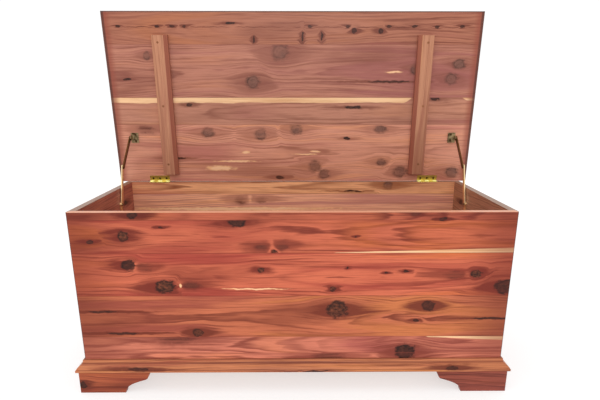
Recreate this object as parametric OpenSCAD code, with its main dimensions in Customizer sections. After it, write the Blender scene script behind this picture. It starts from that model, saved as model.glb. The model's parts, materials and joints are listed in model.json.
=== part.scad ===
// Cedar blanket chest with a lift-up lid, two butt hinges, two folding lid stays,
// a mitred base moulding and ogee bracket feet. Millimetres, +Z up, front towards -Y.
// The origin is on the floor, at the middle of the chest with its lid open.

/* [Box] */
// Width of the box, without moulding or lid
box_w = 1118; // [1000:1:1250]
// Depth of the box, from its front face to its back face
box_d = 497; // [470:1:560]
// Height of the box's top edge above the floor
box_top = 493; // [485:1:520]
// Thickness of the boards
stock = 19; // [18:0.5:20]
// Radius of the round-over on the box's upright corners
corner_r = 4; // [2:0.5:6]
// Thickness of the bottom panel
bottom_t = 10; // [6:1:14]

/* [Lid] */
// How far the lid reaches past the box at the front and at each side
lid_over = 24; // [15:1:30]
// Radius of the lid's long and end edges
lid_edge_r = 6; // [3:0.5:8]
// Angle between the closed lid and the lid at its open stop
open_angle = 86; // [80:0.5:88]
// Distance of each batten's middle from the middle of the lid
batten_x = 407; // [380:1:430]
// Width of a batten
batten_w = 48; // [42:1:52]
// Width of the bevel on a batten's inner side
batten_bevel = 11; // [6:1:12]
// Where a batten starts and ends, measured from the hinge edge
batten_span = [26, 453];

/* [Base] */
// Height of the bracket feet
foot_h = 63; // [55:1:80]
// Length of a foot piece along the chest
foot_len = 196; // [180:1:210]
// How far the feet stand out from the box
foot_out = 15; // [10:0.5:18]
// Height of the base moulding
moulding_h = 30; // [26:1:40]
// How far the base moulding stands out from the box
moulding_out = 21; // [19:0.5:24]

/* [Hinges] */
// Distance of each hinge's middle from the middle of the chest
hinge_x = 450; // [430:1:470]
// Length of a hinge
hinge_len = 66; // [62:1:80]
// How far the hinge pin stands behind the back of the box
pin_out = 0.1; // [0.1:0.1:1.5]
// Thickness of a hinge leaf
leaf_t = 1.6; // [1.2:0.1:2]
// Radius of the hinge knuckles
knuckle_r = 3.2; // [3:0.1:3.4]
// Radius of the hinge pin
pin_r = 1.5; // [1.2:0.1:1.8]

/* [Lid stays] */
// Distance of the lid pivot from the hinge edge, along the lid
stay_lid_t = 144; // [143:1:148]
// Distance of the lid pivot from the lid's underside
stay_lid_drop = 10; // [9:0.5:13]
// Knuckle of the open stay: distance in from the back face, and height above the box
stay_knuckle = [110, 62];
// Wall pivot of the stay: distance in from the back face, and height above the box
stay_wall = [150, -50];
// Width of the stay's arms
arm_w = 13; // [12:0.5:15]
// Thickness of the stay's arms
arm_t = 3; // [2.5:0.5:3.5]

/* [Hidden] */
$fn = 48;

wood_front = [0.73, 0.37, 0.29];
wood_side = [0.70, 0.38, 0.30];
wood_lid = [0.69, 0.44, 0.35];
wood_batten = [0.80, 0.58, 0.42];
wood_base = [0.70, 0.36, 0.25];
wood_hidden = [0.75, 0.55, 0.40];
brass = [0.72, 0.55, 0.30];
steel = [0.62, 0.60, 0.56];

// The gap between the closed lid and the box, and the hinge pin in its middle
lid_gap = 0.2;
pin_z = box_top + lid_gap / 2;
lid_bottom = box_top + lid_gap;

// The chest is centred front to back between its moulding and the open lid
rear_reach = (stock + lid_gap / 2) * sin(open_angle) - pin_out * cos(open_angle) + pin_out;
y_front = moulding_out - (moulding_out + box_d + rear_reach) / 2;
y_back = y_front + box_d;
pin_y = y_back + pin_out;
inner_w = box_w - 2 * stock;

// The lid, measured in its closed pose
lid_w = box_w + 2 * lid_over;
lid_d = box_d + lid_over;

// Glue lines: heights on the walls, and distances from the hinge edge on the lid
front_seams = [foot_h, 109, 157, 273, 388, 473, box_top];
back_seams = [foot_h, 260, 453, box_top];
left_seams = [foot_h, 190, 330, box_top];
right_seams = [foot_h, 176, 344, box_top];
lid_seams = [0, 186, 270, 427, lid_d];

// Screws: countersunk, all with the same slotted head
screw_head_r = 3.6;
screw_head_h = 2.2;
screw_shank_r = 1.6;
slot_w = 0.9;
slot_deep = 0.8;
hinge_screw_len = 14;
stay_screw_len = 13;
batten_screw_len = 31;
hinge_screw_dx = 22;
batten_screw_t = [60, 245, 432];

// Clearances: parts fixed together, a turning pin, and parts that pass each other
fixed_gap = 0.02;
turning_gap = 0.05;
pass_gap = 0.4;

// Stay planes, counted inwards from the inner face of the side wall
plate_t = 2.4;
lower_arm_x = inner_w / 2 - plate_t - pass_gap - arm_t;
upper_arm_x = lower_arm_x - pass_gap - arm_t;
tab_x = upper_arm_x - pass_gap - plate_t;
rivet_r = 2.5;
rivet_head_r = 4.6;
rivet_head_h = 1.3;
flange_len = 32;
flange_w = 24;
flange_screw_dy = 10;
wall_plate_top = 9;
wall_plate_h = 66;
wall_plate_w = 17;
wall_screw_drops = [20, 46];

// Pivots as [y, z]: on the closed lid, at the open stay's knuckle, and on the wall
lid_pivot = [y_back - stay_lid_t, lid_bottom - stay_lid_drop];
knuckle_pivot = [y_back - stay_knuckle[0], box_top + stay_knuckle[1]];
wall_pivot = [y_back - stay_wall[0], box_top + stay_wall[1]];
open_lid_pivot = turned_to_open(lid_pivot);

// Base pieces
foot_x = box_w / 2 + foot_out;
foot_y = y_front - foot_out;
glue_block = [38, 38, 50];
rear_foot_len = 120;
cleat = 19;

// ---- helpers ----

// A [y, z] point of the closed lid, turned about the hinge pin to the open stop
function turned_to_open(p) = [
    pin_y + (p[0] - pin_y) * cos(open_angle) + (p[1] - pin_z) * sin(open_angle),
    pin_z - (p[0] - pin_y) * sin(open_angle) + (p[1] - pin_z) * cos(open_angle)
];

// Point u (0 to 1) of the cubic curve with control points c
function bezier(c, u) =
    pow(1 - u, 3) * c[0] + 3 * u * pow(1 - u, 2) * c[1] + 3 * u * u * (1 - u) * c[2] + pow(u, 3) * c[3];

module rounded_rect(w, h, r) {
    translate([r, 0]) square([w - 2 * r, h]);
    translate([0, r]) square([w, h - 2 * r]);
    for (x = [r, w - r], y = [r, h - r])
        translate([x, y]) circle(r);
}

// Extrudes a [y, z] outline along X
module along_x(x, length)
    translate([x, 0, 0]) rotate([90, 0, 90]) linear_extrude(length) children();

// Extrudes an [x, z] outline along Y
module along_y(y, length)
    translate([0, y + length, 0]) rotate([90, 0, 0]) linear_extrude(length) children();

// A pivot along X through [y, z]
module pivot_x(p, x, length, r)
    translate([x, p[0], p[1]]) rotate([0, 90, 0]) cylinder(h = length, r = r);

// Swings what was drawn on the closed lid up to the open stop
module open_lid()
    translate([0, pin_y, pin_z]) rotate([-open_angle, 0, 0]) translate([0, -pin_y, -pin_z]) children();

// The right-hand piece, mirrored for side -1
module on_side(side)
    if (side > 0) children();
    else mirror([1, 0, 0]) children();

// Countersunk screw, head face at z = 0, pointing down
module screw(length, gap = 0) {
    translate([0, 0, -screw_head_h])
        cylinder(h = screw_head_h, r1 = screw_shank_r + gap, r2 = screw_head_r + gap);
    translate([0, 0, -length - gap])
        cylinder(h = length + gap, r = screw_shank_r + gap);
}

module slotted_screw(length, turn)
    difference() {
        screw(length);
        rotate(turn) translate([-screw_head_r - 1, -slot_w / 2, -slot_deep])
            cube([2 * screw_head_r + 2, slot_w, 2 * slot_deep]);
    }

// ---- where the screws go ----

module at_box_leaf_screws()
    for (side = [-1, 1], dx = [-hinge_screw_dx, 0, hinge_screw_dx])
        translate([side * hinge_x + dx, y_back - stock / 2, box_top]) children();

module at_lid_leaf_screws()
    for (side = [-1, 1], dx = [-hinge_screw_dx, 0, hinge_screw_dx])
        translate([side * hinge_x + dx, y_back - stock / 2, lid_bottom]) rotate([180, 0, 0]) children();

module at_lid_bracket_screws()
    for (side = [-1, 1], dy = [-flange_screw_dy, flange_screw_dy])
        translate([side * (tab_x + plate_t - flange_w * 0.62), lid_pivot[0] + dy, lid_bottom - plate_t])
            rotate([180, 0, 0]) children();

module at_wall_plate_screws()
    for (side = [-1, 1], drop = wall_screw_drops)
        translate([side * (inner_w / 2 - plate_t), wall_pivot[0], wall_pivot[1] - drop])
            rotate([0, -side * 90, 0]) children();

// Along the middle of each batten's flat face
module at_batten_screws()
    for (side = [-1, 1], t = batten_screw_t)
        translate([side * (batten_x + batten_bevel / 2), y_back - t, lid_bottom - stock])
            rotate([180, 0, 0]) children();

// ---- box walls ----

// The box's outline in plan, with its upright corners rounded over
module box_block(z0, z1)
    translate([-box_w / 2, y_front, z0]) linear_extrude(z1 - z0) rounded_rect(box_w, box_d, corner_r);

// Front and back run across the full width, and the sides fit between them
module cross_board(y, z0, z1)
    color(wood_front) intersection() {
        box_block(z0, z1);
        translate([-box_w / 2, y, z0]) cube([box_w, stock, z1 - z0]);
    }

module front_board(i) cross_board(y_front, front_seams[i - 1], front_seams[i]);

// The round hollow along the wood's edge that the hinge knuckles turn in
module knuckle_hollows()
    for (side = [-1, 1])
        pivot_x(
            [pin_y, pin_z], side * hinge_x - hinge_len / 2 - pass_gap,
            hinge_len + 2 * pass_gap, knuckle_r + pass_gap
        );

module back_board(i)
    difference() {
        cross_board(y_back - stock, back_seams[i - 1], back_seams[i]);
        knuckle_hollows();
        for (side = [-1, 1])
            translate([side * hinge_x - hinge_len / 2, y_back - stock - 1, box_top - leaf_t])
                cube([hinge_len, stock + 2, leaf_t + 1]);
        at_box_leaf_screws() screw(hinge_screw_len, fixed_gap);
    }

module side_board(side, seams, i)
    color(wood_side) difference() {
        translate([side > 0 ? inner_w / 2 : -box_w / 2, y_front + stock, seams[i - 1]])
            cube([stock, box_d - 2 * stock, seams[i] - seams[i - 1]]);
        at_wall_plate_screws() screw(stay_screw_len, fixed_gap);
    }

// ---- bottom ----

module bottom_panel()
    color(wood_hidden)
        translate([-inner_w / 2, y_front + stock, foot_h + cleat])
            cube([inner_w, box_d - 2 * stock, bottom_t]);

module long_cleat(y)
    color(wood_hidden) translate([-inner_w / 2, y, foot_h]) cube([inner_w, cleat, cleat]);

module side_cleat(x)
    color(wood_hidden) translate([x, y_front + stock + cleat, foot_h])
        cube([cleat, box_d - 2 * stock - 2 * cleat, cleat]);

// ---- base moulding ----

// Moulding section as [out, up]: a square foot, an ogee and a small top bead
module moulding_profile() {
    ogee = [for (i = [0:10]) [
        4 + (moulding_out - 6) * (1 + cos(18 * i)) / 2,
        6.5 + (moulding_h - 12) * i / 10
    ]];
    polygon(concat(
        [[0, 0], [moulding_out, 0], [moulding_out, 5], [moulding_out - 1, 6.5]],
        ogee,
        [[4, moulding_h - 4], [4, moulding_h - 1], [3, moulding_h], [0, moulding_h]]
    ));
}

module moulding_front()
    color(wood_base) intersection() {
        along_x(-foot_x - 20, 2 * foot_x + 40)
            translate([y_front, foot_h]) mirror([1, 0]) moulding_profile();
        translate([0, y_front, foot_h - 1]) linear_extrude(moulding_h + 2)
            polygon([
                [-box_w / 2, 0], [box_w / 2, 0],
                [box_w / 2 + moulding_out + 5, -moulding_out - 5],
                [-box_w / 2 - moulding_out - 5, -moulding_out - 5]
            ]);
    }

module moulding_side()
    color(wood_base) intersection() {
        along_y(y_front - moulding_out - 5, box_d + moulding_out + 5)
            translate([box_w / 2, foot_h]) moulding_profile();
        translate([box_w / 2, y_front, foot_h - 1]) linear_extrude(moulding_h + 2)
            polygon([
                [0, 0], [moulding_out + 5, -moulding_out - 5],
                [moulding_out + 5, box_d], [0, box_d]
            ]);
    }

// ---- bracket feet ----

// Foot outline as [along, up] from its outer corner: an ogee, then a short riser
module foot_outline() {
    toe = foot_len - 75;
    cusp = [foot_len - 19, foot_h * 0.61];
    lower = [[toe, 0], [toe + 2, foot_h * 0.36], [toe + 24, foot_h * 0.45], cusp];
    upper = [cusp, cusp + [11, 3], cusp + [5, 17], [foot_len, foot_h]];
    polygon(concat(
        [[0, 0]],
        [for (i = [0:12]) bezier(lower, i / 12)],
        [for (i = [1:8]) bezier(upper, i / 8)],
        [[0, foot_h]]
    ));
}

// The front piece of the right front foot, mitred at its outer corner
module foot_face()
    color(wood_base) intersection() {
        along_y(foot_y, stock) translate([foot_x, 0]) mirror([1, 0]) foot_outline();
        translate([foot_x, foot_y, -1]) linear_extrude(foot_h + 2)
            polygon([[0, 0], [-foot_len, 0], [-foot_len, stock], [-stock, stock]]);
    }

// The side piece of the right front foot
module foot_side_front()
    color(wood_base) intersection() {
        along_x(foot_x - stock, stock) translate([foot_y, 0]) foot_outline();
        translate([foot_x, foot_y, -1]) linear_extrude(foot_h + 2)
            polygon([[0, 0], [-stock, stock], [-stock, foot_len], [0, foot_len]]);
    }

module foot_side_rear()
    color(wood_base)
        along_x(foot_x - stock, stock) translate([y_back, 0]) mirror([1, 0]) foot_outline();

// The plain bracket across the back of the right rear foot
module foot_back()
    color(wood_hidden) along_y(y_back - stock, stock)
        polygon([
            [foot_x - stock, 0], [foot_x - stock, foot_h],
            [foot_x - stock - rear_foot_len, foot_h],
            [foot_x - stock - rear_foot_len, foot_h - 16],
            [foot_x - stock - rear_foot_len + 45, 0]
        ]);

module foot_glue_blocks()
    color(wood_hidden)
        for (x = [-foot_x + stock, foot_x - stock - glue_block[0]],
             y = [foot_y + stock, y_back - stock - glue_block[1]])
            translate([x, y, foot_h - glue_block[2]]) cube(glue_block);

// ---- lid ----

// The lid's outline: its front and end edges are rounded, its hinge edge is square
module lid_block()
    intersection() {
        along_y(y_back - lid_d - 1, lid_d + 1)
            translate([-lid_w / 2, lid_bottom]) rounded_rect(lid_w, stock, lid_edge_r);
        along_x(-lid_w / 2, lid_w)
            translate([y_back - lid_d, lid_bottom]) {
                rounded_rect(lid_d, stock, lid_edge_r);
                translate([lid_d - 2 * lid_edge_r, 0]) square([2 * lid_edge_r, stock]);
            }
    }

module lid_board(i)
    color(wood_lid) open_lid() difference() {
        intersection() {
            lid_block();
            translate([-lid_w / 2, y_back - lid_seams[i], lid_bottom])
                cube([lid_w, lid_seams[i] - lid_seams[i - 1], stock]);
        }
        for (side = [-1, 1])
            translate([side * hinge_x - hinge_len / 2, y_back - stock, lid_bottom - 1])
                cube([hinge_len, stock + 1, leaf_t + 1]);
        knuckle_hollows();
        at_lid_leaf_screws() screw(hinge_screw_len, fixed_gap);
        at_lid_bracket_screws() screw(stay_screw_len, fixed_gap);
        at_batten_screws() screw(batten_screw_len, fixed_gap);
    }

// Battens run across the boards, bevelled towards the middle of the lid
module batten(side)
    color(wood_batten) open_lid() difference() {
        on_side(side) along_y(y_back - batten_span[1], batten_span[1] - batten_span[0])
            translate([batten_x - batten_w / 2, lid_bottom - stock])
                polygon([
                    [0, stock], [0, 8], [batten_bevel, 0],
                    [batten_w - 3, 0], [batten_w, 3], [batten_w, stock]
                ]);
        at_batten_screws() screw(batten_screw_len, fixed_gap);
    }

module batten_screws()
    color(steel) open_lid() at_batten_screws() slotted_screw(batten_screw_len, 30);

// ---- hinges ----

// Knuckles of one leaf: numbers 0, 2 and 4 belong to the box leaf, 1 and 3 to the lid leaf
module knuckles(side, numbers, leaf_z)
    for (i = numbers) {
        pitch = hinge_len / 5;
        x = side * hinge_x - hinge_len / 2 + pitch * i + pass_gap / 2;
        pivot_x([pin_y, pin_z], x, pitch - pass_gap, knuckle_r);
        translate([x, y_back - stock / 2, leaf_z]) cube([pitch - pass_gap, stock / 2 + pin_out, leaf_t]);
    }

// A flat plate that stops short of the other leaf's knuckles, with its own knuckles
module leaf(side, numbers, leaf_z)
    difference() {
        union() {
            translate([side * hinge_x - hinge_len / 2, y_back - stock, leaf_z])
                cube([hinge_len, stock + pin_out - knuckle_r - pass_gap, leaf_t]);
            knuckles(side, numbers, leaf_z);
        }
        pivot_x([pin_y, pin_z], side * hinge_x - hinge_len, 2 * hinge_len, pin_r + turning_gap);
    }

module box_leaf(side)
    color(brass) difference() {
        leaf(side, [0, 2, 4], box_top - leaf_t);
        at_box_leaf_screws() screw(hinge_screw_len, fixed_gap);
    }

module lid_leaf(side)
    color(brass) open_lid() difference() {
        leaf(side, [1, 3], lid_bottom);
        at_lid_leaf_screws() screw(hinge_screw_len, fixed_gap);
    }

module hinge_pins()
    color(steel)
        for (side = [-1, 1])
            pivot_x([pin_y, pin_z], side * hinge_x - hinge_len / 2, hinge_len, pin_r);

// ---- screws of the hinges and stays ----

module case_screws()
    color(brass) {
        at_box_leaf_screws() slotted_screw(hinge_screw_len, 20);
        at_wall_plate_screws() slotted_screw(stay_screw_len, 70);
    }

module lid_screws()
    color(brass) open_lid() {
        at_lid_leaf_screws() slotted_screw(hinge_screw_len, 50);
        at_lid_bracket_screws() slotted_screw(stay_screw_len, 10);
    }

// ---- lid stays ----

// A flat arm in the YZ plane from pivot p to pivot q, with a rivet hole at each end
module arm(p, q, x) {
    length = norm(q - p);
    color(brass) along_x(x, arm_t)
        translate(p) rotate(atan2(q[1] - p[1], q[0] - p[0]))
            difference() {
                union() {
                    translate([0, -arm_w / 2]) square([length, arm_w]);
                    circle(arm_w / 2);
                    translate([length, 0]) circle(arm_w / 2);
                }
                for (s = [0, length])
                    translate([s, 0]) circle(rivet_r + turning_gap);
            }
}

// The lid bracket: a flange screwed to the lid, and a tab that holds the pivot
module stay_lid_bracket()
    color(brass) open_lid() difference() {
        union() {
            translate([tab_x + plate_t - flange_w, lid_pivot[0] - flange_len / 2, lid_bottom - plate_t])
                cube([flange_w, flange_len, plate_t]);
            along_x(tab_x, plate_t) {
                translate([lid_pivot[0] - arm_w / 2, lid_pivot[1]])
                    square([arm_w, stay_lid_drop]);
                translate(lid_pivot) circle(arm_w / 2);
            }
        }
        pivot_x(lid_pivot, tab_x - 1, plate_t + 2, rivet_r + fixed_gap);
        at_lid_bracket_screws() screw(stay_screw_len, fixed_gap);
    }

module stay_wall_plate()
    color(brass) difference() {
        along_x(inner_w / 2 - plate_t, plate_t)
            translate([wall_pivot[0] - wall_plate_w / 2, wall_pivot[1] + wall_plate_top - wall_plate_h])
                rounded_rect(wall_plate_w, wall_plate_h, wall_plate_w / 2 - 1);
        pivot_x(wall_pivot, inner_w / 2 - plate_t - 1, plate_t + 2, rivet_r + fixed_gap);
        at_wall_plate_screws() screw(stay_screw_len, fixed_gap);
    }

// A rivet along X with a shallow head at its inner end, its outer end, or both
module rivet(p, x, length, inner_head, outer_head) {
    pivot_x(p, x, length, rivet_r);
    if (inner_head)
        translate([x - rivet_head_h, p[0], p[1]]) rotate([0, 90, 0])
            cylinder(h = rivet_head_h, r1 = rivet_head_r * 0.6, r2 = rivet_head_r);
    if (outer_head)
        translate([x + length, p[0], p[1]]) rotate([0, 90, 0])
            cylinder(h = rivet_head_h, r1 = rivet_head_r, r2 = rivet_head_r * 0.6);
}

module stay_lid_rivets()
    color(steel) open_lid()
        for (side = [-1, 1])
            on_side(side) rivet(lid_pivot, tab_x, plate_t + 2 * pass_gap + arm_t, true, true);

module stay_wall_rivets()
    color(steel)
        for (side = [-1, 1])
            on_side(side)
                rivet(wall_pivot, lower_arm_x - pass_gap, arm_t + 2 * pass_gap + plate_t, true, false);

// The knuckle rivet is in two halves, one in each arm, with a gap between them
module stay_knuckle_cap()
    color(steel) rivet(knuckle_pivot, upper_arm_x, arm_t, true, false);

module stay_knuckle_rivet()
    color(steel) rivet(knuckle_pivot, lower_arm_x, arm_t, false, true);

// ---- nodes ----

front_board(1);  // front_board_1
front_board(2);  // front_board_2
front_board(3);  // front_board_3
front_board(4);  // front_board_4
front_board(5);  // front_board_5
front_board(6);  // front_board_6
back_board(1);  // back_board_1
back_board(2);  // back_board_2
back_board(3);  // back_board_3
side_board(-1, left_seams, 1);  // left_board_1
side_board(-1, left_seams, 2);  // left_board_2
side_board(-1, left_seams, 3);  // left_board_3
side_board(1, right_seams, 1);  // right_board_1
side_board(1, right_seams, 2);  // right_board_2
side_board(1, right_seams, 3);  // right_board_3
bottom_panel();
long_cleat(y_front + stock);  // bottom_cleat_front
long_cleat(y_back - stock - cleat);  // bottom_cleat_back
side_cleat(-inner_w / 2);  // bottom_cleat_left
side_cleat(inner_w / 2 - cleat);  // bottom_cleat_right
moulding_front();
on_side(-1) moulding_side();  // moulding_left
on_side(1) moulding_side();  // moulding_right
on_side(-1) foot_face();  // foot_front_left_face
on_side(-1) foot_side_front();  // foot_front_left_side
on_side(1) foot_face();  // foot_front_right_face
on_side(1) foot_side_front();  // foot_front_right_side
on_side(-1) foot_side_rear();  // foot_rear_left_side
on_side(1) foot_side_rear();  // foot_rear_right_side
on_side(-1) foot_back();  // foot_rear_left_back
on_side(1) foot_back();  // foot_rear_right_back
foot_glue_blocks();
lid_board(1);  // lid_board_1
lid_board(2);  // lid_board_2
lid_board(3);  // lid_board_3
lid_board(4);  // lid_board_4
batten(-1);  // batten_left
batten(1);  // batten_right
batten_screws();
box_leaf(-1);  // hinge_left_box_leaf
box_leaf(1);  // hinge_right_box_leaf
lid_leaf(-1);  // hinge_left_lid_leaf
lid_leaf(1);  // hinge_right_lid_leaf
hinge_pins();
case_screws();
lid_screws();
on_side(-1) stay_lid_bracket();  // stay_left_lid_bracket
on_side(1) stay_lid_bracket();  // stay_right_lid_bracket
on_side(-1) stay_wall_plate();  // stay_left_wall_plate
on_side(1) stay_wall_plate();  // stay_right_wall_plate
on_side(-1) arm(open_lid_pivot, knuckle_pivot, upper_arm_x);  // stay_left_upper_arm
on_side(1) arm(open_lid_pivot, knuckle_pivot, upper_arm_x);  // stay_right_upper_arm
on_side(-1) arm(wall_pivot, knuckle_pivot, lower_arm_x);  // stay_left_lower_arm
on_side(1) arm(wall_pivot, knuckle_pivot, lower_arm_x);  // stay_right_lower_arm
stay_lid_rivets();
stay_wall_rivets();
on_side(-1) stay_knuckle_cap();  // stay_left_knuckle_cap
on_side(1) stay_knuckle_cap();  // stay_right_knuckle_cap
on_side(-1) stay_knuckle_rivet();  // stay_left_knuckle_rivet
on_side(1) stay_knuckle_rivet();  // stay_right_knuckle_rivet
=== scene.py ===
"""Looks of the cedar chest: procedural wood and brass on the CAD parts, a stage, lights and camera."""
import json
import math
from collections import namedtuple

import bpy
from mathutils import Matrix, Vector


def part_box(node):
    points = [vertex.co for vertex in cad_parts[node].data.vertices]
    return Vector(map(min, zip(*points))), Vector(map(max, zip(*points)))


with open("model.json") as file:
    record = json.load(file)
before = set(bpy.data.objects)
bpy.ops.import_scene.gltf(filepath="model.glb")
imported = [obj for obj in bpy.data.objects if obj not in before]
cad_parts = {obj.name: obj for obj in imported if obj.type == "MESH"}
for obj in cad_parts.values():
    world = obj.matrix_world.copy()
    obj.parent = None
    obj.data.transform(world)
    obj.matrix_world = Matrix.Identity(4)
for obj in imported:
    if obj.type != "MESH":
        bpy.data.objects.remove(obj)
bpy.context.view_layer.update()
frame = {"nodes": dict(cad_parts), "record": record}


# ---- where things are, from the frame ----

def joint_facts(name):
    for joint in frame["record"]["behaviour"]["joints"]:
        if joint["name"] == name:
            return joint


LID_HINGE = joint_facts("lid_hinge")
PIN = Vector(LID_HINGE["pos_m"])
OPEN_ANGLE = math.radians(max(LID_HINGE["range_deg"]))
FRONT_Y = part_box("front_board_6")[0][1]
BACK_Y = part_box("back_board_1")[1][1]
BOX_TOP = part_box("front_board_6")[1][2]
BOX_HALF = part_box("front_board_6")[1][0]
LID_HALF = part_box("lid_board_1")[1][0]
BATTEN_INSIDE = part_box("batten_right")[0][0]
MOULDING_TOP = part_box("moulding_front")[1][2]

MM = 0.001
BATTEN_BEVEL = 11 * MM
# The width of the round-over on the edges of wood and of metal
WOOD_ROUND_OVER = 0.6 * MM
METAL_ROUND_OVER = 0.25 * MM


def srgb(red, green, blue):
    """A display colour, 0 to 255, as the linear values that Blender works in."""
    def linear(c):
        c /= 255
        return c / 12.92 if c <= 0.04045 else ((c + 0.055) / 1.055) ** 2.4
    return (linear(red), linear(green), linear(blue), 1.0)


# ---- node helper ----

class Graph:
    """One material's nodes. Each method adds a node and gives back its output."""

    def __init__(self, name):
        self.material = bpy.data.materials.new(name)
        self.material.use_nodes = True
        self.tree = self.material.node_tree
        self.tree.nodes.clear()

    def node(self, kind, inputs=(), **settings):
        made = self.tree.nodes.new("ShaderNode" + kind)
        for key, value in settings.items():
            setattr(made, key, value)
        for slot, value in dict(inputs).items():
            if isinstance(value, bpy.types.NodeSocket):
                self.tree.links.new(value, made.inputs[slot])
            else:
                made.inputs[slot].default_value = value
        return made

    def math(self, operation, *values, clamp=False):
        return self.node("Math", enumerate(values), operation=operation, use_clamp=clamp).outputs[0]

    def vector(self, operation, *values):
        made = self.node("VectorMath", enumerate(values), operation=operation)
        return made.outputs["Value" if operation in ("LENGTH", "DISTANCE") else "Vector"]

    def smooth(self, value, low, high, to_low=0.0, to_high=1.0):
        values = enumerate((value, low, high, to_low, to_high))
        return self.node("MapRange", values, interpolation_type="SMOOTHSTEP").outputs[0]

    def noise(self, vector, scale, detail=2.0, roughness=0.5):
        inputs = {"Vector": vector, "Scale": scale, "Detail": detail, "Roughness": roughness}
        return self.node("TexNoise", inputs).outputs[0]

    def stretched(self, vector, scale):
        return self.vector("MULTIPLY", vector, scale)

    def combine(self, x, y, z):
        return self.node("CombineXYZ", enumerate((x, y, z))).outputs[0]

    def split(self, vector):
        return self.node("SeparateXYZ", {0: vector}).outputs[:3]

    def mix(self, share, first, second, blend="MIX"):
        values = {0: share, 6: first, 7: second}
        return self.node("Mix", values, data_type="RGBA", blend_type=blend).outputs[2]

    def mix_vector(self, share, first, second):
        return self.node("Mix", {0: share, 4: first, 5: second}, data_type="VECTOR").outputs[1]

    def ramp(self, value, stops, steps=False):
        made = self.node("ValToRGB", {0: value})
        ramp = made.color_ramp
        ramp.interpolation = "CONSTANT" if steps else "LINEAR"
        while len(ramp.elements) < len(stops):
            ramp.elements.new(1.0)
        for element, (position, colour) in zip(ramp.elements, stops):
            element.position = position
            element.color = colour if isinstance(colour, tuple) else (colour, colour, colour, 1.0)
        return made.outputs[0]

    def finish(self, **inputs):
        shader = self.node("BsdfPrincipled", inputs)
        self.node("OutputMaterial", {"Surface": shader.outputs[0]})
        return self.material


# ---- wood coordinates: (along the grain, across the board, into the board), in metres ----

def face_front(g):
    x, y, z = g.split(g.node("TexCoord").outputs["Object"])
    return g.combine(x, z, g.math("SUBTRACT", y, FRONT_Y))


def face_side(g):
    x, y, z = g.split(g.node("TexCoord").outputs["Object"])
    return g.combine(y, z, g.math("SUBTRACT", BOX_HALF, g.math("ABSOLUTE", x)))


def face_side_inner(g):
    """As face_side, but the two sides of the chest differ."""
    x, y, z = g.split(g.node("TexCoord").outputs["Object"])
    return g.combine(y, z, x)


def face_flat(g):
    """A level panel with its grain along X."""
    x, y, z = g.split(g.node("TexCoord").outputs["Object"])
    return g.combine(x, y, z)


def lid_closed(g):
    """The lid's coordinates, turned back to its closed pose: x, distance from the hinge edge, height."""
    turn = Matrix.Rotation(OPEN_ANGLE, 3, "X")
    settled = g.node(
        "Mapping",
        {0: g.node("TexCoord").outputs["Object"], 1: -(turn @ PIN), 2: (OPEN_ANGLE, 0.0, 0.0)},
    ).outputs[0]
    x, y, z = g.split(settled)
    from_hinge = g.math("SUBTRACT", g.math("MULTIPLY", y, -1.0), PIN[1] - BACK_Y)
    return x, from_hinge, z


def face_lid(g):
    return g.combine(*lid_closed(g))


def face_batten(g):
    x, from_hinge, height = lid_closed(g)
    return g.combine(from_hinge, x, height)


# ---- cedar ----

Tone = namedtuple("Tone", "light dark blush orange")


def shaded(tone, gain):
    """The same wood, lighter or darker; on the lid boards this is painted light."""
    return Tone(*[(c[0] * gain, c[1] * gain, c[2] * gain, 1.0) for c in tone])


FRONT_ROSE = Tone(srgb(208, 108, 78), srgb(112, 40, 28), srgb(154, 58, 48), srgb(204, 108, 58))
FRONT_PINK = Tone(srgb(210, 124, 98), srgb(122, 54, 42), srgb(166, 84, 75), srgb(208, 124, 80))
FRONT_ORANGE = Tone(srgb(202, 112, 78), srgb(112, 46, 30), srgb(154, 72, 58), srgb(204, 120, 70))
LID_ROSE = Tone(srgb(188, 126, 104), srgb(128, 72, 58), srgb(156, 92, 86), srgb(190, 124, 92))
LID_RUST = Tone(srgb(188, 121, 95), srgb(126, 66, 50), srgb(156, 87, 76), srgb(192, 120, 84))
LID_TAN = Tone(srgb(192, 132, 108), srgb(134, 80, 62), srgb(164, 100, 88), srgb(198, 134, 98))
WALL_ORANGE = Tone(srgb(210, 150, 108), srgb(124, 70, 44), srgb(180, 108, 82), srgb(216, 156, 100))
WALL_ROSE = Tone(srgb(196, 140, 111), srgb(140, 88, 70), srgb(158, 102, 90), srgb(202, 142, 100))
SIDE_ROSE = Tone(srgb(184, 106, 86), srgb(108, 52, 42), srgb(144, 72, 66), srgb(184, 112, 76))
SIDE_TAN = Tone(srgb(186, 129, 100), srgb(118, 72, 52), srgb(158, 94, 78), srgb(188, 129, 90))
BASE_ORANGE = Tone(srgb(202, 126, 85), srgb(110, 50, 34), srgb(162, 80, 60), srgb(212, 134, 77))
FOOT_ORANGE = Tone(srgb(178, 92, 60), srgb(98, 40, 26), srgb(134, 56, 42), srgb(188, 98, 56))
FOOT_PURPLE = Tone(srgb(150, 76, 60), srgb(84, 34, 30), srgb(110, 48, 48), srgb(160, 80, 56))
BATTEN_TAN = Tone(srgb(192, 135, 104), srgb(138, 84, 62), srgb(168, 106, 84), srgb(198, 140, 100))
INNER_TAN = Tone(srgb(190, 142, 108), srgb(146, 96, 70), srgb(174, 116, 92), srgb(198, 152, 112))
SAPWOOD = srgb(240, 196, 150)
SAPWOOD_DARK = srgb(206, 150, 106)
FRONT_RIM = srgb(232, 168, 134)
SIDE_RIM = srgb(150, 116, 94)
WALL_RIM = srgb(140, 96, 72)
LID_RIM = srgb(140, 70, 54)
SHADED_EDGE = srgb(66, 38, 32)
CRACK = srgb(24, 14, 11)

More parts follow.
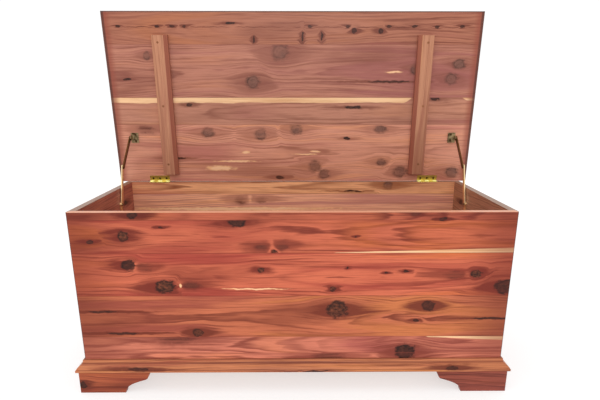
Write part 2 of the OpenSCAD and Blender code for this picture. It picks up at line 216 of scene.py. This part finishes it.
# Kinds of knot, as whole numbers that travel with a knot's place through the node tree
DARK, RINGED, GREY, SMEAR, PALE = range(5)
KNOT_CORE = [srgb(58, 28, 20), srgb(84, 44, 28), srgb(116, 78, 66), srgb(92, 42, 30), srgb(244, 196, 152)]
KNOT_RIM = [srgb(34, 17, 13), srgb(42, 21, 14), srgb(66, 42, 36), srgb(84, 32, 26), srgb(240, 184, 132)]
KNOT_SOFT = [0.20, 0.18, 0.42, 0.60, 0.35]
KNOT_COVER = [0.95, 0.94, 0.88, 0.85, 0.85]
KNOT_HALO = [0.95, 0.95, 0.55, 0.70, 0.0]
KNOT_CRACKS = [0.8, 0.8, 0.25, 0.2, 0.0]
KNOT_GLINT = [0.05, 0.16, 0.05, 0.0, 0.0]
KNOT_BREAK = [0.20, 0.15, 0.45, 0.70, 0.0]

# A knot: where it is along and across, its half sizes (all in millimetres) and its kind
Knot = namedtuple("Knot", "along across half_along half_across kind")
# Sapwood on the "low" or "high" edge of a board: two places along it, the depth at each, and how far the
# limit between sapwood and heartwood waves, all in millimetres
Sap = namedtuple("Sap", "edge from_along from_depth to_along to_depth waviness")
# How far before and past its end a strip of sapwood thins out, and by how much
SAP_TAPER_BEFORE = 50 * MM
SAP_TAPER_PAST = 10 * MM
SAP_TAPER_DEPTH = 30 * MM


def nearest_knot(g, flat, knots):
    """Three outputs: the offset from the nearest knot, the distance to it, and how clear of others it is.

    The offset and the distance are in half knot sizes. The offset's Z holds the knot's kind as its whole
    part and its half size across, in metres, as its fraction. The third output falls to 0 where another
    knot is as near.
    """
    nearest = (9.0, 9.0, DARK + 0.01)
    least = 9.0
    second = 9.5
    for knot in knots:
        size = Vector((knot.half_along, knot.half_across)) * MM
        code = knot.kind + size.y
        place = (-knot.along * MM / size.x, -knot.across * MM / size.y, code)
        offset = g.vector("MULTIPLY_ADD", flat, (1 / size.x, 1 / size.y, 0.0), place)
        away = g.vector("DISTANCE", offset, (0.0, 0.0, code))
        closer = g.math("LESS_THAN", away, least)
        nearest = g.mix_vector(closer, nearest, offset)
        second = g.math("MINIMUM", second, g.math("MAXIMUM", away, least))
        least = g.math("MINIMUM", away, least)
    return nearest, least, g.smooth(g.math("SUBTRACT", second, least), 0.0, 1.2)


def by_kind(g, kind, values):
    """The value that belongs to a kind of knot."""
    share = g.math("MULTIPLY_ADD", kind, 1 / len(values), 0.5 / len(values))
    return g.ramp(share, [(i / len(values), value) for i, value in enumerate(values)], steps=True)


def grain_bands(g, grain, spacing, depth, centre, seed):
    """Growth rings round a pith that wanders along the board, and a broad drift of colour."""
    along, across, into = g.split(grain)
    wander = g.noise(g.combine(g.math("MULTIPLY", along, 0.9), seed, 0.0), 1.0, 1.0)
    rise = g.noise(g.combine(g.math("MULTIPLY", along, 0.8), seed + 7.0, 3.0), 1.0, 1.0)
    beside = g.math("SUBTRACT", across, g.math("MULTIPLY_ADD", wander, 0.10, centre - 0.050))
    below = g.math("ADD", into, g.math("MULTIPLY_ADD", rise, 0.10, depth - 0.05))
    ring = g.vector("LENGTH", g.combine(0.0, beside, below))
    ripple = g.noise(g.stretched(grain, (4.5, 36.0, 36.0)), 1.0, 3.0, 0.6)
    ring = g.math("ADD", ring, g.math("MULTIPLY_ADD", ripple, 0.008, -0.004))
    step = g.math("FRACT", g.math("DIVIDE", ring, spacing))
    band = g.ramp(step, [(0.0, 0.05), (0.40, 0.16), (0.80, 1.0), (0.90, 0.8), (1.0, 0.05)])
    patchy = g.combine(g.math("MULTIPLY", ring, 150.0), g.math("MULTIPLY", along, 2.0), seed)
    strength = g.noise(patchy, 1.0, 2.0)
    band = g.math("MULTIPLY", band, g.smooth(strength, 0.36, 0.62, 0.10, 1.0))
    broad = g.combine(g.math("MULTIPLY", ring, 55.0), g.math("MULTIPLY", along, 1.7), seed + 4.0)
    return band, g.noise(broad, 1.0, 2.0)


def wood_grain(g, grain, tone, contrast, spacing, depth, centre, seed):
    """The clear wood: rings, a drift between colours, patches, streaks and fine fibres."""
    band, drift = grain_bands(g, grain, spacing, depth, centre, seed)
    shifted = g.vector("ADD", grain, (seed, 0.0, 0.0))
    colour = g.mix(g.math("MULTIPLY", band, contrast), tone.light, tone.dark)
    colour = g.mix(g.smooth(drift, 0.50, 0.70, 0.0, 0.85), colour, tone.blush)
    colour = g.mix(g.smooth(drift, 0.46, 0.30, 0.0, 0.80), colour, tone.orange)
    patch = g.noise(g.stretched(shifted, (2.6, 11.0, 11.0)), 1.0, 3.0)
    colour = g.mix(g.smooth(patch, 0.50, 0.74, 0.0, 0.60), colour, tone.dark)
    streak = g.noise(g.stretched(shifted, (3.0, 110.0, 110.0)), 1.0, 4.0, 0.65)
    colour = g.mix(g.smooth(streak, 0.52, 0.70, 0.0, 0.75), colour, tone.dark)
    colour = g.mix(g.smooth(streak, 0.46, 0.34, 0.0, 0.35), colour, tone.light)
    fibre = g.noise(g.stretched(shifted, (14.0, 420.0, 420.0)), 1.0, 3.0, 0.65)
    colour = g.mix(g.smooth(fibre, 0.34, 0.80, 0.0, 0.40), colour, tone.dark)
    return colour, band, streak, fibre


def sapwood(g, colour, place, span, sap, streak, seed):
    """Pale sapwood along one glued edge, with a wavy limit and tapered ends."""
    along, across, _ = g.split(place)
    slope = (sap.to_depth - sap.from_depth) / (sap.to_along - sap.from_along)
    start = (sap.from_depth - slope * sap.from_along) * MM
    limit = g.math("MULTIPLY_ADD", along, slope, start)
    wave = g.noise(g.combine(g.math("MULTIPLY", along, 11.0), seed, 0.0), 1.0, 3.0)
    limit = g.math("MULTIPLY_ADD", g.math("SUBTRACT", wave, 0.5), sap.waviness * MM, limit)
    middle = (sap.from_along + sap.to_along) / 2 * MM
    half = (sap.to_along - sap.from_along) / 2 * MM
    past_end = g.math("SUBTRACT", g.math("ABSOLUTE", g.math("SUBTRACT", along, middle)), half)
    taper = g.smooth(past_end, -SAP_TAPER_BEFORE, SAP_TAPER_PAST, 0.0, SAP_TAPER_DEPTH)
    limit = g.math("SUBTRACT", limit, taper)
    if sap.edge == "low":
        inward = g.math("SUBTRACT", across, span[0])
    else:
        inward = g.math("SUBTRACT", span[1], across)
    pale = g.smooth(g.math("SUBTRACT", limit, inward), -0.0010, 0.0012)
    cream = g.mix(g.smooth(streak, 0.40, 0.72), SAPWOOD, SAPWOOD_DARK)
    return g.mix(pale, colour, cream)


def cedar(
        name, face, tone, span=None, knots=(), sap=(),
        seed=1.0, spacing=0.0045, depth=0.05, centre=0.0, contrast=0.9,
        rim=None, top_face=None, ends=None, end_band=0.002, tip_band=None, fade_ends=0.0,
        gloss=0.05, finish=None):
    """Satin-finished red cedar, with its places in metres in the wood coordinates of the face.

    span: the board's low and high glue line across the grain
    spacing: the width of a growth ring
    depth, centre: how far the pith lies in front of the face, and where it lies across the grain
    rim: how far along the lid board it lay on the box; past that it is darker
    top_face: the colour of the wall's top face
    ends: how far along the board its ends are, with a band of painted shade end_band wide
    tip_band: the width of the band of painted shade on the edge away from the hinge
    fade_ends: how much the board darkens towards its two ends
    gloss: the strength of the clear coat
    finish: a function that paints shade onto the colour last of all
    """
    g = Graph(name)
    place = face(g)
    along, across, into = g.split(place)

    # Knots have ragged outlines, and the grain flows round them
    rag = g.noise(g.stretched(place, (60.0, 95.0, 60.0)), 1.0, 4.0, 0.65)
    lobe = g.noise(g.stretched(place, (38.0, 46.0, 46.0)), 1.0, 2.0)
    push_along = g.math("MULTIPLY_ADD", rag, 0.014, -0.007)
    push_across = g.math("MULTIPLY_ADD", lobe, 0.008, -0.004)
    flat = g.combine(g.math("ADD", along, push_along), g.math("ADD", across, push_across), 0.0)
    nearest, away, alone = nearest_knot(g, flat, knots)
    off_along, off_across, code = g.split(nearest)
    kind = g.math("FLOOR", code)
    size = g.math("FRACT", code)
    solid_kind = g.math("MULTIPLY", g.math("LESS_THAN", kind, SMEAR - 0.5), alone)
    offset = g.combine(off_along, off_across, 0.0)
    reach = g.vector("LENGTH", g.stretched(offset, (0.30, 0.52, 0.0)))
    pull = g.math("EXPONENT", g.math("MULTIPLY", g.math("POWER", reach, 2.0), -1.0))
    pull = g.math("MULTIPLY", pull, g.math("MULTIPLY", solid_kind, -0.88))
    bend = g.math("MULTIPLY", g.math("MULTIPLY", off_across, size), pull)
    grain = g.combine(along, g.math("ADD", across, bend), into)

    colour, band, streak, fibre = wood_grain(g, grain, tone, contrast, spacing, depth, centre, seed)
    for strip in sap:
        colour = sapwood(g, colour, place, span, strip, streak, seed)

    # The board darkens gradually towards its two ends
    reach_out = g.math("ABSOLUTE", along)
    if fade_ends:
        colour = g.mix(g.smooth(reach_out, ends - 0.16, ends, 0.0, fade_ends), colour, tone.dark)

    # Knots: a flare along the grain, then the knot with its own rings and cracks
    flare = g.vector("LENGTH", g.stretched(offset, (0.30, 0.84, 0.0)))
    frayed = g.math("ADD", flare, g.math("MULTIPLY_ADD", streak, 3.4, -1.7))
    flare = g.smooth(frayed, 0.55, 1.50, 1.0, 0.0)
    flare = g.math("MULTIPLY", flare, alone)
    colour = g.mix(g.math("MULTIPLY", flare, by_kind(g, kind, KNOT_HALO)), colour, tone.dark)
    soft = by_kind(g, kind, KNOT_SOFT)
    ragged = g.math("ADD", away, g.math("MULTIPLY_ADD", rag, 1.5, -0.75))
    inside = g.smooth(ragged, g.math("SUBTRACT", 1.0, soft), g.math("ADD", 1.0, soft), 1.0, 0.0)
    rings = g.math("SINE", g.math("MULTIPLY_ADD", away, 17.0, g.math("MULTIPLY", rag, 14.0)))
    rim_share = g.math("MULTIPLY_ADD", rings, 0.22, g.smooth(away, 0.50, 0.95), clamp=True)
    heart = g.mix(rim_share, by_kind(g, kind, KNOT_CORE), by_kind(g, kind, KNOT_RIM))
    check = g.noise(g.stretched(place, (95.0, 150.0, 120.0)), 1.0, 3.0, 0.6)
    cracks = g.math("MULTIPLY", g.smooth(check, 0.52, 0.60), by_kind(g, kind, KNOT_CRACKS))
    heart = g.mix(cracks, heart, CRACK)
    glint = g.math("MULTIPLY", g.smooth(check, 0.44, 0.37), by_kind(g, kind, KNOT_GLINT))
    heart = g.mix(glint, heart, tone.light)
    covered = g.math("MULTIPLY", inside, by_kind(g, kind, KNOT_COVER))
    broken = g.math("MULTIPLY", g.smooth(streak, 0.58, 0.40), by_kind(g, kind, KNOT_BREAK))
    covered = g.math("MULTIPLY", covered, g.math("SUBTRACT", 1.0, broken))
    colour = g.mix(covered, colour, heart)

    # The glue lines, the lid's rim that never lay on the box, the walls' top faces in a colour of their
    # own, and painted shade at the board's ends and along the lid's far edge
    if span:
        from_low = g.math("SUBTRACT", across, span[0])
        from_high = g.math("SUBTRACT", span[1], across)
        gap = g.math("MINIMUM", from_low, from_high)
        colour = g.mix(g.smooth(gap, 0.0002, 0.0012, 0.60, 0.0), colour, tone.dark)
    if rim:
        edge = g.smooth(reach_out, rim - 0.010, rim + 0.012, 0.0, 0.72)
        colour = g.mix(edge, colour, LID_RIM)
    if top_face:
        on_top = g.smooth(across, BOX_TOP - 0.0010, BOX_TOP - 0.0004, 0.0, 0.85)
        colour = g.mix(on_top, colour, top_face)
    if ends:
        shade = g.smooth(reach_out, ends - 1.6 * end_band, ends - 0.9 * end_band, 0.0, 0.72)
        colour = g.mix(shade, colour, SHADED_EDGE)
    if tip_band:
        to_tip = g.math("SUBTRACT", span[1], across)
        colour = g.mix(g.smooth(to_tip, tip_band, 0.4 * tip_band, 0.0, 0.75), colour, SHADED_EDGE)

    if finish:
        colour = finish(g, place, colour)

    height = g.math("ADD", g.math("MULTIPLY", band, -0.35), g.math("MULTIPLY", fibre, 0.65))
    height = g.math("MULTIPLY_ADD", covered, 0.8, height)
    bump = g.node("Bump", {"Strength": 0.22, "Distance": 0.0005, "Height": height})
    roughness = g.smooth(fibre, 0.3, 0.75, 0.32, 0.48)
    return g.finish(
        **{
            "Base Color": colour,
            "Roughness": roughness,
            "Normal": bump.outputs[0],
            "Specular IOR Level": 0.16,
            "Coat Weight": gloss,
            "Coat Roughness": 0.18,
        }
    )


# ---- metal ----

def metal(name, bright, dull, roughness, wear):
    """Satin metal with smudges, fine scratches and tarnish."""
    g = Graph(name)
    place = g.node("TexCoord").outputs["Object"]
    cloud = g.noise(place, 90.0, 4.0, 0.65)
    speck = g.noise(place, 900.0, 2.0, 0.6)
    scratch = g.noise(g.stretched(place, (1800.0, 120.0, 120.0)), 1.0, 2.0)
    tarnish = g.math("MULTIPLY", g.smooth(cloud, 0.42, 0.70), wear)
    colour = g.mix(tarnish, bright, dull)
    colour = g.mix(g.smooth(speck, 0.62, 0.75, 0.0, wear), colour, dull)
    rough = g.math("ADD", g.math("MULTIPLY", cloud, 0.18), roughness - 0.09)
    height = g.math("ADD", scratch, speck)
    bump = g.node("Bump", {"Strength": 0.10, "Distance": 0.0002, "Height": height})
    return g.finish(
        **{"Base Color": colour, "Metallic": 1.0, "Roughness": rough, "Normal": bump.outputs[0]}
    )


# ---- the boards and their knots ----
#
# A knot's place is along X and above the floor on the front and back walls, along Y and above the floor on
# the sides, and along X and away from the hinge edge on the lid. The knots and sapwood that the photo shows
# were read off it and brought to millimetres with the fitted camera. The others are made up, and so
# are all on the sides.

FRONT_KNOTS = {
    1: [Knot(95, 98, 38, 14, SMEAR), Knot(298, 112, 26, 24, DARK), Knot(-93, 73, 12, 4, DARK)],
    2: [Knot(-311, 152, 44, 16, SMEAR), Knot(298, 112, 26, 24, DARK)],
    3: [
        Knot(115, 234, 28, 22, RINGED), Knot(351, 244, 17, 14, DARK), Knot(322, 203, 8, 4, DARK),
        Knot(519, 208, 50, 3, DARK), Knot(-495, 229, 38, 3, DARK), Knot(-252, 170, 14, 12, RINGED),
        Knot(-450, 168, 40, 3, DARK),
    ],
    4: [
        Knot(-418, 357, 18, 14, DARK), Knot(-380, 351, 22, 10, SMEAR), Knot(-329, 299, 25, 18, RINGED),
        Knot(-290, 301, 3, 5, PALE), Knot(-262, 302, 22, 10, SMEAR), Knot(-82, 343, 9, 7, RINGED),
        Knot(467, 332, 14, 11, RINGED), Knot(412, 328, 24, 10, SMEAR), Knot(548, 296, 30, 20, DARK),
        Knot(287, 339, 6, 4, DARK), Knot(237, 335, 4, 3, DARK), Knot(139, 348, 3, 3, DARK),
        Knot(102, 291, 8, 7, RINGED), Knot(-96, 292, 76, 2, PALE),
    ],
    5: [
        Knot(-423, 433, 14, 13, RINGED), Knot(-329, 455, 5, 3, DARK), Knot(-507, 418, 9, 5, DARK),
        Knot(-139, 470, 22, 14, DARK), Knot(-47, 392, 8, 5, RINGED), Knot(-80, 404, 16, 11, SMEAR),
        Knot(-28, 407, 15, 12, SMEAR), Knot(157, 430, 3, 3, DARK), Knot(371, 473, 9, 4, DARK),
    ],
    6: [Knot(-396, 486, 14, 9, DARK), Knot(301, 489, 11, 7, SMEAR), Knot(371, 475, 9, 4, DARK)],
}
FRONT_SAP = {
    2: [Sap("high", 310, 0, 620, 15, 1.5)],
    5: [Sap("low", 60, 0, 620, 14, 1.5)],
}
FRONT_TONES = {
    1: shaded(FRONT_PINK, 1.12), 2: shaded(FRONT_PINK, 1.03), 3: shaded(FRONT_ORANGE, 0.94),
    4: FRONT_ROSE, 5: shaded(FRONT_ROSE, 0.9), 6: shaded(FRONT_ROSE, 0.72),
}

PIN_KNOT_ROW = [Knot(x, 478, 7, 4, DARK) for x in (-534, -415, -370, -330, 52, 168, 292, 370, 440, 517)]
PITCH_LINES = [Knot(x, 476, 40, 1, SMEAR) for x in (-480, -250, -120, 100, 230, 330, 480)]
LID_KNOTS = {
    1: [
        Knot(-280, 160, 19, 15, GREY), Knot(-108, 155, 19, 17, GREY), Knot(8, 171, 18, 16, GREY),
        Knot(-481, 172, 24, 13, SMEAR), Knot(-244, 44, 45, 8, PALE), Knot(-192, 67, 66, 3, PALE),
        Knot(-158, 97, 12, 4, PALE), Knot(-46, 13, 14, 6, DARK), Knot(-375, 77, 20, 4, DARK),
        Knot(283, 171, 19, 12, GREY), Knot(292, 63, 15, 13, GREY), Knot(356, 31, 22, 18, GREY),
        Knot(530, 29, 21, 18, GREY), Knot(71, 50, 20, 18, GREY), Knot(102, 23, 17, 15, GREY),
        Knot(176, 142, 12, 4, DARK), Knot(71, 100, 16, 3, PALE), Knot(40, 90, 36, 2, PALE),
    ],
    2: [Knot(-333, 248, 10, 6, DARK), Knot(192, 240, 26, 5, DARK), Knot(454, 268, 15, 8, DARK)],
    3: [
        Knot(-41, 405, 25, 23, GREY), Knot(-128, 317, 21, 20, GREY), Knot(-454, 393, 11, 12, GREY),
        Knot(-524, 325, 12, 4, DARK), Knot(519, 370, 19, 15, GREY), Knot(499, 326, 19, 16, GREY),
        Knot(382, 355, 14, 14, GREY), Knot(317, 347, 26, 3, PALE), Knot(299, 318, 60, 3, DARK),
    ],
    4: PIN_KNOT_ROW + PITCH_LINES + [
        Knot(-121, 440, 3, 11, DARK), Knot(28, 448, 3, 15, DARK), Knot(88, 450, 3, 15, DARK),
        Knot(186, 466, 7, 8, DARK), Knot(268, 465, 7, 8, DARK), Knot(-192, 487, 14, 4, DARK),
    ],
}
LID_SAP = {2: [Sap("high", -640, 17, 400, 15, 12), Sap("high", 512, 8, 640, 10, 3)]}
# Painted light: the boards near the hinge, low in the open lid and shaded by the chest, are made lighter
# and the top board darker, so that the lid looks evenly lit.
LID_TONES = {
    1: shaded(LID_TAN, 1.34), 2: shaded(LID_TAN, 0.98), 3: LID_ROSE, 4: shaded(LID_RUST, 0.84),
}

BACK_KNOTS = {
    1: [Knot(-200, 150, 20, 16, DARK), Knot(260, 180, 24, 20, RINGED), Knot(480, 120, 14, 12, DARK)],
    2: [
        Knot(-182, 432, 16, 14, SMEAR), Knot(-110, 434, 18, 10, SMEAR), Knot(-216, 402, 340, 5, PALE),
        Knot(150, 340, 22, 18, RINGED), Knot(-400, 320, 18, 15, DARK),
    ],
    3: [Knot(317, 481, 17, 12, GREY), Knot(200, 462, 30, 3, DARK)],
}
BACK_TONES = {1: WALL_ROSE, 2: shaded(WALL_ROSE, 1.6), 3: shaded(WALL_ORANGE, 1.4)}

SIDE_TONES = {
    ("left", 1): FRONT_PINK, ("left", 2): FRONT_ORANGE, ("left", 3): SIDE_ROSE,
    ("right", 1): FRONT_ORANGE, ("right", 2): FRONT_PINK, ("right", 3): SIDE_TAN,
}
SIDE_KNOTS = {
    1: [Knot(-120, 130, 20, 16, DARK), Knot(110, 110, 12, 10, RINGED)],
    2: [Knot(60, 250, 26, 22, RINGED), Knot(-170, 300, 14, 10, DARK)],
    3: [Knot(-60, 400, 22, 18, RINGED), Knot(150, 440, 14, 8, DARK), Knot(-190, 470, 12, 6, DARK)],
}


def edges(node, axis):
    low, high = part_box(node)
    return (low[axis], high[axis])


def lid_edges(number):
    """The glue lines of a lid board, as distances from the hinge edge."""
    mesh = bpy.data.objects[f"lid_board_{number}"].data
    turn = Matrix.Rotation(OPEN_ANGLE, 3, "X")
    places = [BACK_Y - (turn @ (v.co - PIN) + PIN).y for v in mesh.vertices]
    return (min(places), max(places))


def board_materials():
    """One cedar material for each board, because no two boards match."""
    made = {}
    for number, knots in FRONT_KNOTS.items():
        node = f"front_board_{number}"
        made[node] = cedar(
            node, face_front, FRONT_TONES[number], edges(node, 2), knots, FRONT_SAP.get(number, ()),
            seed=number * 3.7, depth=0.03 + 0.012 * number, centre=sum(edges(node, 2)) / 2,
            top_face=FRONT_RIM if number == 6 else None, ends=BOX_HALF, fade_ends=0.60,
        )
    for number, knots in BACK_KNOTS.items():
        node = f"back_board_{number}"
        made[node] = cedar(
            node, face_front, BACK_TONES[number], edges(node, 2), knots,
            seed=30 + number * 2.9, depth=-0.46, centre=sum(edges(node, 2)) / 2,
            spacing=0.007, contrast=1.0,
            top_face=WALL_RIM if number == 3 else None, ends=BOX_HALF, gloss=0.12,
        )
    for side, seed in (("left", 50.0), ("right", 64.0)):
        for number, knots in SIDE_KNOTS.items():
            node = f"{side}_board_{number}"
            made[node] = cedar(
                node, face_side, SIDE_TONES[side, number], edges(node, 2), knots,
                seed=seed + number * 2.3, depth=0.04, centre=sum(edges(node, 2)) / 2,
                top_face=SIDE_RIM if number == 3 else None,
            )
    for number, knots in LID_KNOTS.items():
        node = f"lid_board_{number}"
        span = lid_edges(number)
        made[node] = cedar(
            node, face_lid, LID_TONES[number], span, knots, LID_SAP.get(number, ()),
            seed=80 + number * 4.1, depth=0.06, centre=sum(span) / 2, contrast=0.8,
            rim=BOX_HALF, ends=LID_HALF, end_band=0.008, tip_band=0.005 if number == 4 else None,
            gloss=0.12,
        )
    return made


def painted_moulding_shade(g, place, colour):
    """Painted shade in the hollow of the moulding, along its top bead and its foot."""
    height = g.math("SUBTRACT", g.split(place)[1], MOULDING_TOP)
    top_bead = (-0.0005, 0.0012, 0.55)
    hollow = (-0.0095, 0.0030, 0.60)
    lower_edge = (-0.0240, 0.0010, 0.50)
    for middle, half, share in (top_bead, hollow, lower_edge):
        away = g.math("ABSOLUTE", g.math("SUBTRACT", height, middle))
        colour = g.mix(g.smooth(away, half, 0.4 * half, 0.0, share), colour, BASE_ORANGE.dark)
    return colour


def base_materials():
    mould = [Knot(-412, 72, 26, 4, DARK), Knot(423, 72, 18, 5, DARK), Knot(60, 66, 30, 2, DARK)]
    foot = [Knot(-566, 24, 8, 10, DARK)]
    made = {
        "moulding_front": cedar(
            "moulding_front", face_front, BASE_ORANGE, None, mould, seed=101.0, depth=0.07,
            finish=painted_moulding_shade,
        ),
        "foot_front_left_face": cedar("foot_left", face_front, FOOT_ORANGE, None, foot, seed=103.0),
        "foot_front_right_face": cedar("foot_right", face_front, FOOT_PURPLE, None, (), seed=107.0),
    }
    side_base = cedar("base_side", face_side_inner, BASE_ORANGE, None, (), seed=109.0)
    side_foot = cedar("foot_side", face_side_inner, FOOT_ORANGE, None, (), seed=113.0)
    for node in ("moulding_left", "moulding_right"):
        made[node] = side_base
    for node in frame["nodes"]:
        if node.startswith("foot_") and node.endswith("_side"):
            made[node] = side_foot
    return made


def painted_batten_shade(g, place, colour):
    """Painted shade on the bevelled inner side of a batten, darker and redder than its face, for the
    batten's side and its shadow on the lid.
    """
    across = g.split(place)[1]
    past_bevel = g.math("SUBTRACT", g.math("ABSOLUTE", across), BATTEN_INSIDE + BATTEN_BEVEL)
    return g.mix(g.smooth(past_bevel, 0.0004, -0.0004, 0.0, 0.75), colour, LID_RIM)


def hidden_materials():
    inner = cedar("inner_wood", face_flat, INNER_TAN, None, (), seed=121.0, depth=0.2, contrast=0.5)
    batten = cedar(
        "batten_wood", face_batten, BATTEN_TAN, None, (), seed=127.0, depth=0.08, contrast=0.5,
        finish=painted_batten_shade,
    )
    made = {node: batten for node in ("batten_left", "batten_right")}
    for node in frame["nodes"]:
        if node.startswith("bottom_") or node.endswith("_back") or node == "foot_glue_blocks":
            made[node] = inner
    return made


def metal_materials():
    bright = metal("brass_bright", srgb(255, 248, 170), srgb(222, 194, 96), 0.28, 0.25)
    golden = metal("brass_golden", srgb(226, 200, 96), srgb(136, 104, 44), 0.34, 0.55)
    # The upper arm and the knuckle cap get a darkened brass: painted shade and painted dark reflection on
    # the arm seen edge-on.
    brass_in_shade = metal("brass_painted_shade", srgb(112, 76, 40), srgb(64, 40, 22), 0.42, 0.7)
    pale = metal("brass_pale", srgb(244, 216, 168), srgb(196, 156, 104), 0.34, 0.4)
    tarnished = metal("brass_tarnished", srgb(160, 138, 102), srgb(60, 44, 26), 0.40, 1.0)
    dark = metal("steel_dark", srgb(84, 62, 40), srgb(44, 30, 20), 0.45, 0.6)
    sunk = metal("steel_in_wood", srgb(150, 100, 72), srgb(110, 70, 50), 0.55, 0.5)
    by_name = {
        "box_leaf": bright, "lid_leaf": golden, "upper_arm": brass_in_shade, "lower_arm": pale,
        "wall_plate": pale, "lid_bracket": tarnished, "lid_screws": dark, "case_screws": golden,
        "batten_screws": sunk, "lid_rivets": tarnished, "wall_rivets": tarnished, "hinge_pins": golden,
        "knuckle_cap": brass_in_shade, "knuckle_rivet": pale,
    }
    return {node: by_name[end] for node in frame["nodes"] for end in by_name if node.endswith(end)}


# Two boards whose edges almost touch under the open lid stay sharp, so that no light shows between them
MEETING_EDGES = ("lid_board_1", "back_board_3")


def ease_edges(thing, width):
    """A small round-over on a part's sharp edges, so that they catch the light."""
    bevel = thing.modifiers.new("eased_edges", "BEVEL")
    bevel.width = width
    bevel.segments = 2
    bevel.limit_method = "ANGLE"
    bevel.angle_limit = math.radians(40)
    bevel.harden_normals = False


def dress_parts():
    materials = {**board_materials(), **base_materials(), **hidden_materials(), **metal_materials()}
    for node in frame["nodes"]:
        thing = bpy.data.objects[node]
        thing.data.materials.clear()
        thing.data.materials.append(materials[node])
        is_metal = node.startswith(("hinge", "stay")) or node.endswith("screws")
        if node not in MEETING_EDGES:
            ease_edges(thing, METAL_ROUND_OVER if is_metal else WOOD_ROUND_OVER)


# ---- stage, lights and camera ----

WHITE = (1.0, 1.0, 1.0, 1.0)


def pale_floor():
    """A grey floor that glows faintly, so that it looks white with a soft shadow."""
    bpy.ops.mesh.primitive_grid_add(x_subdivisions=8, y_subdivisions=8, size=60.0)
    floor = bpy.context.object
    floor.name = "studio_floor"
    g = Graph("studio_floor")
    floor.data.materials.append(
        g.finish(
            **{
                "Base Color": (0.45, 0.45, 0.45, 1.0),
                "Roughness": 0.9,
                "Emission Color": WHITE,
                "Emission Strength": 0.58,
            }
        )
    )


def soft_light(name, place, aim, size, power):
    data = bpy.data.lights.new(name, "AREA")
    data.shape = "RECTANGLE"
    data.size, data.size_y = size
    data.energy = power
    light = bpy.data.objects.new(name, data)
    light.location = place
    light.rotation_euler = (Vector(aim) - Vector(place)).to_track_quat("-Z", "Y").to_euler()
    bpy.context.scene.collection.objects.link(light)


def studio_light():
    world = bpy.data.worlds.new("studio")
    bpy.context.scene.world = world
    world.use_nodes = True
    background = world.node_tree.nodes["Background"]
    background.inputs["Color"].default_value = WHITE
    background.inputs["Strength"].default_value = 1.05
    soft_light("key", (0.1, -2.3, 1.3), (0.05, 0.0, 0.3), (1.0, 0.7), 11.0)
    soft_light("top", (-0.8, -1.2, 2.6), (0.0, 0.0, 0.4), (1.6, 1.0), 5.0)
    bpy.context.scene.view_settings.view_transform = "Standard"


def photo_camera():
    """The camera stands before the chest, above its open rim, looking down."""
    looks_down_deg = 17.04
    turned_deg = -0.47
    data = bpy.data.cameras.new("camera")
    data.sensor_width = 36.0
    data.lens = 30.9
    data.shift_y = 0.0933
    camera = bpy.data.objects.new("camera", data)
    camera.location = (0.007, FRONT_Y - 1.242, 0.761)
    camera.rotation_euler = (math.radians(90 - looks_down_deg), 0.0, math.radians(turned_deg))
    bpy.context.scene.collection.objects.link(camera)
    bpy.context.scene.camera = camera


photo_camera()
pale_floor()
studio_light()
dress_parts()
